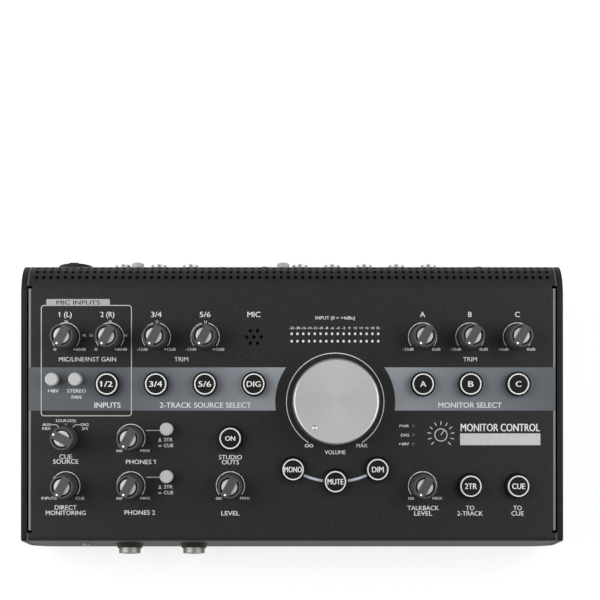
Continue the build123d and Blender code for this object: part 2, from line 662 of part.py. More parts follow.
finish(
    jack(FRONT_WALL, [(SMALL_JACK, FRONT_LINE)], (7.0, 8.0), 16.0, 2.9, 0.7, SMALL_PLUG_BORE),
    "small_jack",
)

# Combined microphone and line sockets: a ring outside, a hub with a plug bore inside it.
COMBO_RING, COMBO_BARREL, COMBO_GROOVE, COMBO_HUB = 10.6, 9.8, 9.3, 7.6
COMBO_NOSE = 3.2
combo_places = mirrored(COMBOS)
with BuildPart() as combo_sockets:
    with BuildSketch(REAR_WALL):
        with Locations(*combo_places):
            Circle(COMBO_RING)
    extrude(amount=COMBO_NOSE, taper=12)
    with BuildSketch(REAR_WALL):
        with Locations(*combo_places):
            RegularPolygon(COMBO_BARREL, 16)
    extrude(amount=-18.0)
    with BuildSketch(REAR_WALL.offset(-18.0)):
        with Locations(*combo_places):
            Rectangle(18.0, 18.0)
    extrude(amount=-14.0)
    with BuildSketch(REAR_WALL.offset(COMBO_NOSE)):
        with Locations(*combo_places):
            Circle(COMBO_GROOVE)
            Circle(COMBO_HUB, mode=Mode.SUBTRACT)
    extrude(amount=-(COMBO_NOSE + 12.0), mode=Mode.SUBTRACT)
    with BuildSketch(REAR_WALL.offset(COMBO_NOSE)):
        with Locations(*combo_places):
            Circle(PLUG_BORE)
    extrude(amount=-(COMBO_NOSE + 30.0), mode=Mode.SUBTRACT)
    # The release latch at the top of each ring.
    with BuildSketch(REAR_WALL):
        with Locations(*[(x, z + 9.3) for x, z in combo_places]):
            Rectangle(5.0, 1.6)
    extrude(amount=COMBO_NOSE + 0.3)
finish(combo_sockets, "combo_sockets")

with BuildPart() as usb_socket:
    with BuildSketch(REAR_WALL.offset(0.5)):
        with Locations(*mirrored([USB])):
            Rectangle(12.0, 10.9)
    extrude(amount=-16.5)
    with BuildSketch(REAR_WALL.offset(0.5)):
        with Locations(*mirrored([USB])):
            Rectangle(8.5, 7.9)
            Rectangle(5.6, 3.2, mode=Mode.SUBTRACT)
    extrude(amount=-9.5, mode=Mode.SUBTRACT)
finish(usb_socket, "usb_socket")

with BuildPart() as power_inlet:
    with BuildSketch(REAR_WALL.offset(-COVER_SHEET)):
        with Locations(*mirrored([POWER_INLET])):
            Rectangle(9.0, 11.0)
    extrude(amount=-12.0)
    with BuildSketch(REAR_WALL.offset(0.4)):
        with Locations(*mirrored([POWER_INLET])):
            Circle(4.5)
    extrude(amount=-4.0)
    with BuildSketch(REAR_WALL.offset(0.4)):
        with Locations(*mirrored([POWER_INLET])):
            Circle(3.1)
            Circle(1.05, mode=Mode.SUBTRACT)
    extrude(amount=-9.5, mode=Mode.SUBTRACT)
finish(power_inlet, "power_inlet")

# ---------------------------------------------------------------- power switch
ROCKER_PIVOT = 5.0        # behind the rear wall's face
ROCKER_HALF = 5.0
ROCKER_TILT = 8.0
PIN_RADIUS, PIN_BORE = 1.5, 1.56
with BuildPart() as power_switch_body:
    with BuildSketch(REAR_WALL):
        with Locations(*mirrored([POWER_SWITCH])):
            Rectangle(14.6, 21.4)
    extrude(amount=1.2)
    with BuildSketch(REAR_WALL):
        with Locations(*mirrored([POWER_SWITCH])):
            Rectangle(12.4, 19.2)
    extrude(amount=-15.0)
    with BuildSketch(REAR_WALL.offset(1.2)):
        with Locations(*mirrored([POWER_SWITCH])):
            Rectangle(10.6, 17.8)
    extrude(amount=-15.0, mode=Mode.SUBTRACT)
    with BuildSketch(Plane.YZ.offset(POWER_SWITCH[0])):
        with Locations((REAR - ROCKER_PIVOT, POWER_SWITCH[1])):
            Circle(PIN_BORE)
    extrude(amount=6.0, both=True, mode=Mode.SUBTRACT)
finish(power_switch_body, "power_switch_body")

rocker_plane = Plane(
    origin=(POWER_SWITCH[0], REAR - ROCKER_PIVOT, POWER_SWITCH[1]),
    x_dir=(0, cos(radians(ROCKER_TILT)), sin(radians(ROCKER_TILT))),
    z_dir=(1, 0, 0),
)
with BuildPart() as power_rocker:
    with BuildSketch(rocker_plane):
        with BuildLine():
            Polyline(
                (-3.5, -3.5), (2.5, -8.2), (4.9, -7.1), (5.5, -6.4), (4.4, 0),
                (5.5, 6.4), (4.9, 7.1), (2.5, 8.2), (-3.5, 3.5), close=True,
            )
        make_face()
    extrude(amount=ROCKER_HALF, both=True)
    with BuildSketch(rocker_plane):
        Circle(PIN_RADIUS)
    extrude(amount=5.9, both=True)
finish(power_rocker, "power_rocker")
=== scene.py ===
"""A desktop studio monitor controller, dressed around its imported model.

Lengths are in millimetres on the sloped panel: x to the right, s up the slope from the front edge,
and h out of the panel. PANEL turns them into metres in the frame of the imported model.
"""

from math import cos, pi, radians, sin, tan

import bmesh
import bpy
from mathutils import Matrix, Vector


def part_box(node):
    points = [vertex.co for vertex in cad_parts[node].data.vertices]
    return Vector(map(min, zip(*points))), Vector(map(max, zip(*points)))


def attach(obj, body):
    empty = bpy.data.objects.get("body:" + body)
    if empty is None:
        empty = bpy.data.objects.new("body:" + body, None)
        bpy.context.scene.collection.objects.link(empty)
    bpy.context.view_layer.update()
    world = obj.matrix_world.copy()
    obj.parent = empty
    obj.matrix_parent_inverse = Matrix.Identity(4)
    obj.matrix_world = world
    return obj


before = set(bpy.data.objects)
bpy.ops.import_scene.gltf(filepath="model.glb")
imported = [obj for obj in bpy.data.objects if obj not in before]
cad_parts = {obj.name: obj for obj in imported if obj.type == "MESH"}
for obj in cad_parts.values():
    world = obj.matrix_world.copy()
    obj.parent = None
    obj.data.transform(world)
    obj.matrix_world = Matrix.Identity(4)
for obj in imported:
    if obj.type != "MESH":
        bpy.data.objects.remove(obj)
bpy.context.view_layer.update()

# ---------------------------------------------------------------- the camera
# A long lens, square to the sloped panel within a quarter of a degree, 850 mm above it.
# It is shifted to hold the case in the lower part of the frame.
MM = 0.001
SLOPE = radians(9.0)
FRONT_EDGE = 45.0
PANEL = (
    Matrix.Translation((0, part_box("base_chassis")[0].y, FRONT_EDGE * MM))
    @ Matrix.Rotation(SLOPE, 4, "X")
    @ Matrix.Scale(MM, 4)
)
VIEW_FOOT = (-2.1, 66.6, 850.0)
VIEW_TILT = radians(0.244)
LENS_LENGTH = 92.16
LENS_SHIFT = (0.0196, 0.1896)
lens = bpy.data.cameras.new("camera")
lens.lens = LENS_LENGTH
lens.shift_x, lens.shift_y = LENS_SHIFT
camera = bpy.data.objects.new("camera", lens)
camera.location = PANEL @ Vector(VIEW_FOOT)
camera.rotation_euler = (SLOPE + VIEW_TILT, 0, 0)
bpy.context.scene.collection.objects.link(camera)
bpy.context.scene.camera = camera
bpy.context.scene.view_settings.view_transform = "Standard"

# ---------------------------------------------------------------- the floor and the light
# A plain pale floor in a soft white room, which the lens and polished surfaces see as white.
# Two broad lamps, one at each side of the case, look at its middle.
SMOOTH_UNDER = radians(35)


def material(name, colour, roughness, metallic=0.0, specular=0.5):
    """A plain finish, which the calls below add nodes to."""
    made = bpy.data.materials.new(name)
    made.use_nodes = True
    shader = made.node_tree.nodes["Principled BSDF"]
    shader.inputs["Base Color"].default_value = (*colour, 1)
    shader.inputs["Roughness"].default_value = roughness
    shader.inputs["Metallic"].default_value = metallic
    shader.inputs["Specular IOR Level"].default_value = specular
    return made


def piece_from(bm, name, place, finish):
    """Turns a bmesh in millimetres into an object, with its place in its mesh."""
    bmesh.ops.recalc_face_normals(bm, faces=bm.faces)
    bm.transform(place)
    mesh = bpy.data.meshes.new(name)
    bm.to_mesh(mesh)
    bm.free()
    mesh.shade_smooth()
    mesh.set_sharp_from_angle(angle=SMOOTH_UNDER)
    mesh.materials.append(finish)
    made = bpy.data.objects.new(name, mesh)
    bpy.context.scene.collection.objects.link(made)
    return made


def maths(tree, operation, *terms):
    """A Math node over numbers and other nodes' outputs, and its result."""
    step = tree.nodes.new("ShaderNodeMath")
    step.operation = operation
    for i, term in enumerate(terms):
        if isinstance(term, bpy.types.NodeSocket):
            tree.links.new(term, step.inputs[i])
        else:
            step.inputs[i].default_value = term
    return step.outputs[0]


def for_rays(tree, *kinds):
    """1 for the named kinds of ray, such as the camera's own, and 0 for all others."""
    path = tree.nodes.new("ShaderNodeLightPath")
    seen = path.outputs[kinds[0]]
    for kind in kinds[1:]:
        seen = maths(tree, "MAXIMUM", seen, path.outputs[kind])
    return seen


def mix_shaders(tree, amount, first, second, outlet):
    """Mixes two shaders, and sends the result to where the tree ends."""
    blend = tree.nodes.new("ShaderNodeMixShader")
    for i, source in enumerate((amount, first.outputs[0], second.outputs[0])):
        tree.links.new(source, blend.inputs[i])
    tree.links.new(blend.outputs[0], outlet.inputs["Surface"])


FLOOR_SIDE = 4000.0
FLOOR_UNDER = 0.1
FLOOR_GLOW = 0.78
floor_white = material("floor_white", (0.92, 0.92, 0.92), roughness=0.9, specular=0.1)
paint = floor_white.node_tree
glow = paint.nodes.new("ShaderNodeEmission")
glow.inputs["Color"].default_value = (1, 1, 1, 1)
mix_shaders(
    paint, maths(paint, "MULTIPLY", for_rays(paint, "Is Camera Ray", "Is Glossy Ray"), FLOOR_GLOW),
    paint.nodes["Principled BSDF"], glow, paint.nodes["Material Output"],
)
sheet = bmesh.new()
bmesh.ops.create_grid(sheet, x_segments=1, y_segments=1, size=FLOOR_SIDE / 2)
floor_place = Matrix.Scale(MM, 4) @ Matrix.Translation((0, 0, -FLOOR_UNDER))
piece_from(sheet, "floor", floor_place, floor_white)

ROOM_LIGHT, ROOM_SEEN = 0.54, 1.0
world = bpy.data.worlds.new("room")
bpy.context.scene.world = world
world.use_nodes = True
room = world.node_tree
room.nodes.clear()
ambient = room.nodes.new("ShaderNodeBackground")
ambient.inputs["Strength"].default_value = ROOM_LIGHT
backdrop = room.nodes.new("ShaderNodeBackground")
backdrop.inputs["Strength"].default_value = ROOM_SEEN
mix_shaders(
    room, for_rays(room, "Is Camera Ray", "Is Glossy Ray", "Is Transmission Ray"),
    ambient, backdrop, room.nodes.new("ShaderNodeOutputWorld"),
)

# Each lamp's place, and its power in watts.
LAMPS = {"left_lamp": ((-520, 40, 420), 5.5), "right_lamp": ((520, 60, 420), 4.4)}
LAMP_SIZE = (500, 700)
LAMP_AIM = (0, 0, 50)
for name, (spot, power) in LAMPS.items():
    light = bpy.data.lights.new(name, "AREA")
    light.shape = "RECTANGLE"
    light.size, light.size_y = (side * MM for side in LAMP_SIZE)
    light.energy = power
    lamp = bpy.data.objects.new(name, light)
    lamp.location = Vector(spot) * MM
    lamp.rotation_euler = (Vector(LAMP_AIM) * MM - lamp.location).to_track_quat("-Z", "Y").to_euler()
    bpy.context.scene.collection.objects.link(lamp)

# ---------------------------------------------------------------- the folded steel case
# The cover, the base and the lips between them are folded from steel sheet.
# They are powder coated black, in a fine satin texture.
BUMP_STRENGTH = 0.6
GRAIN_DETAIL, PATCH_DETAIL = 3.0, 5.0
PATCH_DARK, PATCH_LIGHT = 0.3, 0.7
# A Mix node's sockets for its two colours, and for the one that comes out.
COLOUR_A, COLOUR_B, COLOUR_OUT = 6, 7, 2


def feed(made, socket, value):
    """Links a node's output to one of the finish's own sockets."""
    tree = made.node_tree
    tree.links.new(value, tree.nodes["Principled BSDF"].inputs[socket])


def noise(tree, size, detail):
    """Noise on the object's own coordinates, its features of the given size."""
    place = tree.nodes.new("ShaderNodeTexCoord")
    pattern = tree.nodes.new("ShaderNodeTexNoise")
    pattern.inputs["Scale"].default_value = 1 / (size * MM)
    pattern.inputs["Detail"].default_value = detail
    tree.links.new(place.outputs["Object"], pattern.inputs["Vector"])
    return pattern.outputs["Fac"]


def ramp(tree, value, stops, interpolation="LINEAR"):
    """Turns a value into a colour, by stops that give a colour for some of its levels."""
    scale = tree.nodes.new("ShaderNodeValToRGB")
    scale.color_ramp.interpolation = interpolation
    for i, (level, colour) in enumerate(stops.items()):
        stop = scale.color_ramp.elements[i] if i < 2 else scale.color_ramp.elements.new(level)
        stop.position = level
        stop.color = (*colour, 1)
    tree.links.new(value, scale.inputs["Fac"])
    return scale.outputs["Color"]


def grain(made, size, depth):
    """A fine bump over the whole surface, its grains of the given size and depth."""
    tree = made.node_tree
    bump = tree.nodes.new("ShaderNodeBump")
    bump.inputs["Strength"].default_value = BUMP_STRENGTH
    bump.inputs["Distance"].default_value = depth * MM
    tree.links.new(noise(tree, size, GRAIN_DETAIL), bump.inputs["Height"])
    feed(made, "Normal", bump.outputs["Normal"])
    return made


def finish_of(name, dark, light, patches, grains, roughness, metallic=0.0, specular=0.5):
    """A finish that drifts between two colours in patches of one size, over a fine bump.

    grains gives the size and the depth of the bump.
    """
    middle = [(low + high) / 2 for low, high in zip(dark, light)]
    made = grain(material(name, middle, roughness, metallic, specular), *grains)
    tree = made.node_tree
    stops = {PATCH_DARK: dark, PATCH_LIGHT: light}
    feed(made, "Base Color", ramp(tree, noise(tree, patches, PATCH_DETAIL), stops))
    return made


def own_place(tree):
    """The X, Y and Z of each point, in the object's own coordinates."""
    spot = tree.nodes.new("ShaderNodeTexCoord")
    apart = tree.nodes.new("ShaderNodeSeparateXYZ")
    tree.links.new(spot.outputs["Object"], apart.inputs[0])
    return apart.outputs


def fade(tree, value, none, full):
    """0 where a value is at one level, 1 where it is at the other, and even between them."""
    scale = tree.nodes.new("ShaderNodeMapRange")
    scale.inputs["From Min"].default_value = none
    scale.inputs["From Max"].default_value = full
    tree.links.new(value, scale.inputs["Value"])
    return scale.outputs[0]


def tint(made, amount, colour):
    """Lays another colour over a finish, as far as the amount goes from 0 to 1."""
    tree = made.node_tree
    over = tree.nodes.new("ShaderNodeMix")
    over.data_type = "RGBA"
    over.inputs[COLOUR_B].default_value = (*colour, 1)
    below = tree.nodes["Principled BSDF"].inputs["Base Color"].links[0].from_socket
    tree.links.new(amount, over.inputs[0])
    tree.links.new(below, over.inputs[COLOUR_A])
    feed(made, "Base Color", over.outputs[COLOUR_OUT])


def dress(finish, *nodes):
    """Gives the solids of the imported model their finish."""
    for name in nodes:
        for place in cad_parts[name].material_slots:
            place.material = finish


POWDER = (0.4, 0.02)
cover_coat = finish_of(
    "cover_coat", (0.0085, 0.0085, 0.0088), (0.0155, 0.0155, 0.016),
    patches=1.1, grains=POWDER, roughness=0.5, specular=0.13,
)
# The coat's colour is painted lighter over the bends of the side flanges, and less so beyond their notches: a
# painted highlight of the side lamps on the bends.
PAINTED_BEND_HIGHLIGHT = (0.14, 0.14, 0.143)
# How far from the middle of the case the bend lies, and how far from there the painted highlight ends and is
# full.
BEND_MIDDLE, REAR_EDGE = 145.3, 146.7
BEND_NONE, BEND_FULL = 0.9, 0.5
FLANGE_START, FLANGE_END = 5.8, 139.6
BEYOND_NOTCH = 0.4


def paint_bend_highlights(made):
    """Paints a highlight in a light colour along both sides, by how far each point is from the bend."""
    tree = made.node_tree
    start, end = (PANEL @ Vector((0, s, 0)) for s in (FLANGE_START, FLANGE_END))
    place = own_place(tree)
    on_flange = maths(tree, "COMPARE", place["Y"], (start.y + end.y) / 2, (end.y - start.y) / 2)
    bend = maths(tree, "MULTIPLY_ADD", on_flange, (BEND_MIDDLE - REAR_EDGE) * MM, REAR_EDGE * MM)
    off_bend = maths(tree, "ABSOLUTE", maths(tree, "SUBTRACT", maths(tree, "ABSOLUTE", place["X"]), bend))
    on_bend = fade(tree, off_bend, BEND_NONE * MM, BEND_FULL * MM)
    strength = maths(tree, "MULTIPLY_ADD", on_flange, 1 - BEYOND_NOTCH, BEYOND_NOTCH)
    tint(made, maths(tree, "MULTIPLY", on_bend, strength), PAINTED_BEND_HIGHLIGHT)


paint_bend_highlights(cover_coat)
dress(cover_coat, "top_cover")
# The base and the lips take a darker copy of the cover's coat: painted shade on the sides of the case.
side_coat_painted_shade = finish_of(
    "side_coat_painted_shade", (0.0065, 0.0065, 0.0068), (0.0115, 0.0115, 0.012),
    patches=1.1, grains=POWDER, roughness=0.48, specular=0.1,
)
dress(side_coat_painted_shade, "base_chassis", "side_liners")

# ---------------------------------------------------------------- feet and screws
# Four tapered rubber feet stand under the floor.
# Black machine screws hold the base to the cover's tabs, and others sit in the rear wall.
def grey(level):
    """A colour with the same level of red, green and blue."""
    return (level, level, level)


rubber = finish_of("foot_rubber", grey(0.014), grey(0.03), patches=3.0, grains=(0.8, 0.05), roughness=0.85)
dress(rubber, "rubber_feet")
screw_black = grain(material("screw_black", grey(0.03), roughness=0.35, metallic=0.6), size=0.5, depth=0.01)
dress(screw_black, "case_screws")

# ---------------------------------------------------------------- boards and switches inside
# Two green circuit boards on brass posts, one under the panel and one on the floor.
# The upper one carries moulded pots and switches, and a microphone under foam behind its holes.
solder_mask = finish_of(
    "solder_mask", (0.008, 0.035, 0.016), (0.013, 0.055, 0.026),
    patches=6.0, grains=(1.0, 0.01), roughness=0.4,
)
dress(solder_mask, "control_board", "main_board")
inner_plastic = finish_of(
    "inner_plastic", grey(0.007), grey(0.013), patches=4.0, grains=(0.6, 0.02), roughness=0.55, specular=0.3,
)
dress(inner_plastic, "pot_bodies", "volume_pot", "cue_switch_body", "button_switches", "latching_switches")
mic_foam = finish_of(
    "mic_foam", grey(0.002), grey(0.004), patches=1.0, grains=(0.5, 0.05), roughness=0.9, specular=0.1,
)
dress(mic_foam, "talkback_mic")
brass = finish_of(
    "post_brass", (0.5, 0.41, 0.24), (0.66, 0.55, 0.34),
    patches=4.0, grains=(0.5, 0.01), roughness=0.3, metallic=1.0,
)
dress(brass, "board_standoffs")

# ---------------------------------------------------------------- the band of colour
# A blue-grey band is screen-printed across the panel, with a round bite for the volume knob.
# It is lighter beside the knob than at the sides of the case.
INK, OVER_INK = 0.03, 0.05
WELD = 0.001
VOLUME = (23.9, 76.8)


def fixed(bm, name, place, finish, body):
    """Makes a piece that moves with a body."""
    made = piece_from(bm, name, place, finish)
    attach(made, body)


def ink(bm, name, finish, body="case", place=PANEL, thick=OVER_INK):
    """Raises flat ink from a surface, a little thicker than nothing, and fixes it to its body."""
    bmesh.ops.remove_doubles(bm, verts=bm.verts, dist=WELD)
    lifted = bmesh.ops.extrude_face_region(bm, geom=bm.faces[:])
    tops = [v for v in lifted["geom"] if isinstance(v, bmesh.types.BMVert)]
    bmesh.ops.translate(bm, verts=tops, vec=(0, 0, thick))
    fixed(bm, name, place, finish, body)


BAND_LOW, BAND_HIGH, BAND_END = 72.0, 95.9, 145.6
BAND_REACH = 122.0
BAND_SHADES = {
    0.0: (0.215, 0.233, 0.252),
    0.28: (0.208, 0.226, 0.244),
    0.5: (0.13, 0.143, 0.158),
    1.0: (0.066, 0.074, 0.083),
}
BITE, BITE_STEPS = 33.2, 16


def half_band(side):
    """One half of the band, from the side flange to the bite around the volume knob."""
    bm = bmesh.new()
    far_side = [bm.verts.new((side * BAND_END, s, 0)) for s in (BAND_LOW, BAND_HIGH)]
    bite = []
    for i in range(BITE_STEPS + 1):
        s = BAND_HIGH + (BAND_LOW - BAND_HIGH) * i / BITE_STEPS
        reach = (BITE**2 - (s - VOLUME[1]) ** 2) ** 0.5
        bite.append(bm.verts.new((VOLUME[0] + side * reach, s, 0)))
    bm.faces.new([*far_side, *bite])
    return bm


def shade_sideways(made):
    """Colours the band by how far each point is from the volume knob, to left or right."""
    tree = made.node_tree
    off_knob = maths(tree, "SUBTRACT", own_place(tree)["X"], VOLUME[0] * MM)
    share = maths(tree, "DIVIDE", maths(tree, "ABSOLUTE", off_knob), BAND_REACH * MM)
    feed(made, "Base Color", ramp(tree, share, BAND_SHADES))


band_ink = grain(material("band_ink", BAND_SHADES[0.5], roughness=0.5, specular=0.15), size=0.4, depth=0.015)
shade_sideways(band_ink)
ink(half_band(-1), "band_left", band_ink, thick=INK)
ink(half_band(1), "band_right", band_ink, thick=INK)

# ---------------------------------------------------------------- scales around the knobs
# A pale arc is printed around the volume knob, and a smaller one around each pot knob.
# Those of the pots for trims and levels are broken at every eighth of a turn.
ROW_TRIM, ROW_SELECT, ROW_PHONES, ROW_FRONT = 112.7, 86.6, 56.6, 30.3
SOURCES = (-102.1, -75.1, -48.1, -21.1)
MONITORS = (72.25, 98.5, 124.75)
GAINS = (-125.4, -101.0)
LEFT_COLUMN, PHONES_COLUMN, STUDIO_COLUMN = -125.2, -89.2, -34.1
LINE = 0.4
ARC_STEP, CORNER_STEP = 3.0, 15.0


def arc(bm, centre, radius, width, start, end, step=ARC_STEP):
    """A flat arc of ink between two angles in degrees."""
    ends = []
    for r in (radius - width / 2, radius + width / 2):
        spot = (centre[0] + r * cos(radians(start)), centre[1] + r * sin(radians(start)), 0)
        ends.append(bm.verts.new(spot))
    edge = bm.edges.new(ends)
    bmesh.ops.spin(
        bm, geom=[*ends, edge], cent=(*centre, 0), axis=(0, 0, 1), angle=radians(end - start),
        steps=max(1, round(abs(end - start) / step)),
    )


def screen_ink(name, dark, light, specular=0.2):
    """Screen-printed ink, matt and nearly even."""
    return finish_of(name, dark, light, patches=2.0, grains=(0.5, 0.01), roughness=0.5, specular=specular)


PLAIN_POTS = {"gain_knob_1": (GAINS[0], ROW_TRIM), "gain_knob_2": (GAINS[1], ROW_TRIM)}
TRIM_POTS = {"trim_knob_3_4": (SOURCES[1], ROW_TRIM), "trim_knob_5_6": (SOURCES[2], ROW_TRIM)}
LEVEL_POTS = {
    "monitor_trim_knob_a": (MONITORS[0], ROW_TRIM),
    "monitor_trim_knob_b": (MONITORS[1], ROW_TRIM),
    "monitor_trim_knob_c": (MONITORS[2], ROW_TRIM),
    "phones_knob_1": (PHONES_COLUMN, ROW_PHONES),
    "phones_knob_2": (PHONES_COLUMN, ROW_FRONT),
    "direct_monitor_knob": (LEFT_COLUMN, ROW_FRONT),
    "studio_level_knob": (STUDIO_COLUMN, ROW_FRONT),
    "talkback_level_knob": (MONITORS[0], ROW_FRONT),
}
VOLUME_SCALE, VOLUME_LINE = 27.0, 0.42
VOLUME_LOW, VOLUME_HIGH = 236.8, -56.8
POT_SCALE = 7.85
POT_LOW, POT_HIGH = 217.5, -37.5
GAP, TRIM_GAP = 1.3, 14.0


def broken_scale(bm, centre, top_gap):
    """A pot's arc in six parts, which stop short of five marks by a gap given in degrees."""
    start = POT_LOW
    for mark, gap in ((180, GAP), (135, GAP), (90, top_gap), (45, GAP), (0, GAP)):
        arc(bm, centre, POT_SCALE, LINE, start, mark + gap)
        start = mark - gap
    arc(bm, centre, POT_SCALE, LINE, start, POT_HIGH)


scales = bmesh.new()
arc(scales, VOLUME, VOLUME_SCALE, VOLUME_LINE, VOLUME_LOW, VOLUME_HIGH)
for pot in PLAIN_POTS.values():
    arc(scales, pot, POT_SCALE, LINE, POT_LOW, POT_HIGH)
for pot in TRIM_POTS.values():
    broken_scale(scales, pot, TRIM_GAP)
for pot in LEVEL_POTS.values():
    broken_scale(scales, pot, GAP)
light_ink = screen_ink("light_ink", grey(0.48), grey(0.52))
ink(scales, "panel_scales", light_ink)

# ---------------------------------------------------------------- frame, leaders and signs
# Thin lines in a greyer ink: the frame around the first two inputs, the marks of the cue switch,
# leaders and signs for the phones caps, and a dial's marks over a plain bar.
lines = bmesh.new()


def stroke(bm, start, end, width):
    """A straight line of ink."""
    run = Vector((*end, 0)) - Vector((*start, 0))
    middle = (Vector((*end, 0)) + Vector((*start, 0))) / 2
    turned = Matrix.Translation(middle) @ run.to_track_quat("X", "Z").to_matrix().to_4x4()
    place = turned @ Matrix.Diagonal((run.length, width, 1, 1))
    bmesh.ops.create_grid(bm, x_segments=1, y_segments=1, size=0.5, matrix=place)


# The frame, with round corners.
FRAME_LEFT, FRAME_RIGHT, FRAME_LOW, FRAME_HIGH = -138.8, -88.9, 69.1, 130.2
FRAME_CORNER, FRAME_LINE = 1.6, 0.45
inner_left, inner_right = FRAME_LEFT + FRAME_CORNER, FRAME_RIGHT - FRAME_CORNER
inner_low, inner_high = FRAME_LOW + FRAME_CORNER, FRAME_HIGH - FRAME_CORNER
corners = (
    (inner_right, inner_high), (inner_left, inner_high), (inner_left, inner_low), (inner_right, inner_low),
)
for quarter, corner in enumerate(corners):
    arc(lines, corner, FRAME_CORNER, FRAME_LINE, 90 * quarter, 90 * quarter + 90, CORNER_STEP)
for x in (FRAME_LEFT, FRAME_RIGHT):
    stroke(lines, (x, inner_low), (x, inner_high), FRAME_LINE)
for s in (FRAME_LOW, FRAME_HIGH):
    stroke(lines, (inner_left, s), (inner_right, s), FRAME_LINE)

# The three marks of the cue switch, and leaders to its outer two.
CUE = (LEFT_COLUMN, ROW_PHONES)
CUE_MARK = (7.4, 8.2)
LEADER_START, LEADER_KNEE, LEADER_END = (3.8, 6.2), (5.4, 7.6), (8.1, 7.6)
stroke(lines, (CUE[0], CUE[1] + CUE_MARK[0]), (CUE[0], CUE[1] + CUE_MARK[1]), LINE)
for side in (-1, 1):
    start, knee, end = ((CUE[0] + side * x, CUE[1] + s) for x, s in (LEADER_START, LEADER_KNEE, LEADER_END))
    stroke(lines, start, knee, LINE)
    stroke(lines, knee, end, LINE)

# Leaders from the phones pots to their caps, and signs for each cap standing out and pushed in:
# a line for the panel, so far from the cap, and a stem that stands so high on it.
PHONES_CAP = -69.1
PHONES_CAPS = (61.7, 35.6)
PHONES_LEADERS = (ROW_PHONES + 4.4, ROW_FRONT + 4.8)
PHONES_LEADER = (-80.7, -73.0)
PHONES_LINE = 0.45
CAP_SIGN = -4.0
CAP_OUT, CAP_IN = (-6.7, 1.7), (-9.4, 0.6)
SIGN_HALF, SIGN_LINE, SIGN_STEM, STEM_START = 0.95, 0.5, 0.9, 0.1
for s, cap_s in zip(PHONES_LEADERS, PHONES_CAPS):
    stroke(lines, (PHONES_LEADER[0], s), (PHONES_LEADER[1], s), PHONES_LINE)
    x = PHONES_CAP + CAP_SIGN
    for away, height in (CAP_OUT, CAP_IN):
        foot = cap_s + away
        stroke(lines, (x - SIGN_HALF, foot), (x + SIGN_HALF, foot), SIGN_LINE)
        stroke(lines, (x, foot + STEM_START), (x, foot + height), SIGN_STEM)

# A dial's marks, its ring and hand, and a plain bar, to the right of the three lamps.
DIAL = (82.4, 58.5)
DIAL_INNER, DIAL_OUTER, DIAL_LINE = 5.6, 7.6, 0.5
DIAL_MARKS, DIAL_START, DIAL_MARK_STEP = 11, 225, 27
DIAL_RING, DIAL_RING_STEP, DIAL_HAND = 3.4, 10.0, (1.7, 2.6)
BAR_START, BAR_END, BAR_WIDTH = (93.0, 56.1), (137.4, 56.1), 6.5
for mark in range(DIAL_MARKS):
    turn = radians(DIAL_START - DIAL_MARK_STEP * mark)
    inner, outer = ((DIAL[0] + r * cos(turn), DIAL[1] + r * sin(turn)) for r in (DIAL_INNER, DIAL_OUTER))
    stroke(lines, inner, outer, DIAL_LINE)
arc(lines, DIAL, DIAL_RING, DIAL_LINE, 0, 360, DIAL_RING_STEP)
stroke(lines, DIAL, (DIAL[0] + DIAL_HAND[0], DIAL[1] + DIAL_HAND[1]), DIAL_LINE)
stroke(lines, BAR_START, BAR_END, BAR_WIDTH)
pale_ink = screen_ink("pale_ink", grey(0.34), grey(0.38))
ink(lines, "panel_lines", pale_ink)

# ---------------------------------------------------------------- the tab on the frame
# A solid tab of still greyer ink stands on the frame's upper edge, its upper corners round.
# Its letters, in black, are printed with the others below.
TAB_LEFT, TAB_RIGHT, TAB_LOW, TAB_HIGH, TAB_CORNER = -136.0, -100.8, 130.3, 133.7, 0.7
tab = bmesh.new()
tab_middle = (TAB_LOW + TAB_HIGH - TAB_CORNER) / 2
stroke(tab, (TAB_LEFT, tab_middle), (TAB_RIGHT, tab_middle), TAB_HIGH - TAB_LOW - TAB_CORNER)
tab_top = TAB_HIGH - TAB_CORNER / 2
stroke(tab, (TAB_LEFT + TAB_CORNER, tab_top), (TAB_RIGHT - TAB_CORNER, tab_top), TAB_CORNER)
for x, start in ((TAB_LEFT + TAB_CORNER, 90), (TAB_RIGHT - TAB_CORNER, 0)):
    arc(tab, (x, TAB_HIGH - TAB_CORNER), TAB_CORNER / 2, TAB_CORNER, start, start + 90, CORNER_STEP)
tab_ink = screen_ink("tab_ink", grey(0.255), grey(0.285))
ink(tab, "tab", tab_ink)

# ---------------------------------------------------------------- links between the buttons
# Two short blue-grey arcs join the three buttons under the volume knob.
# They are printed in a lighter ink than the band.
LINK_ANGLES = ((-122.8, -99.0), (-81.0, -57.2))
LINK_RADIUS, LINK_WIDTH = 44.2, 1.4
links = bmesh.new()
for start, end in LINK_ANGLES:
    arc(links, VOLUME, LINK_RADIUS, LINK_WIDTH, start, end)
link_ink = screen_ink("link_ink", (0.34, 0.38, 0.43), (0.39, 0.43, 0.48), specular=0.5)
ink(links, "link_lines", link_ink)

# ---------------------------------------------------------------- lettering
# Function words, numbers and channel letters are screen-printed beside what they name.
# Headings and titles are bolder than the labels at the ends of the scales.
SECOND_COAT = 0.012
# The built-in typeface's cap height, and the middle of its capitals, for letters of size 1.
TYPE_CAP, TYPE_MIDDLE = 0.7, 0.341
HEADING, HEADING_WEIGHT = 2.95, 0.0435
TITLE, TITLE_WEIGHT = 2.45, 0.0285
SMALL, TINY, LABEL_WEIGHT = 1.9, 1.5, 0.03
THIN = 0.0


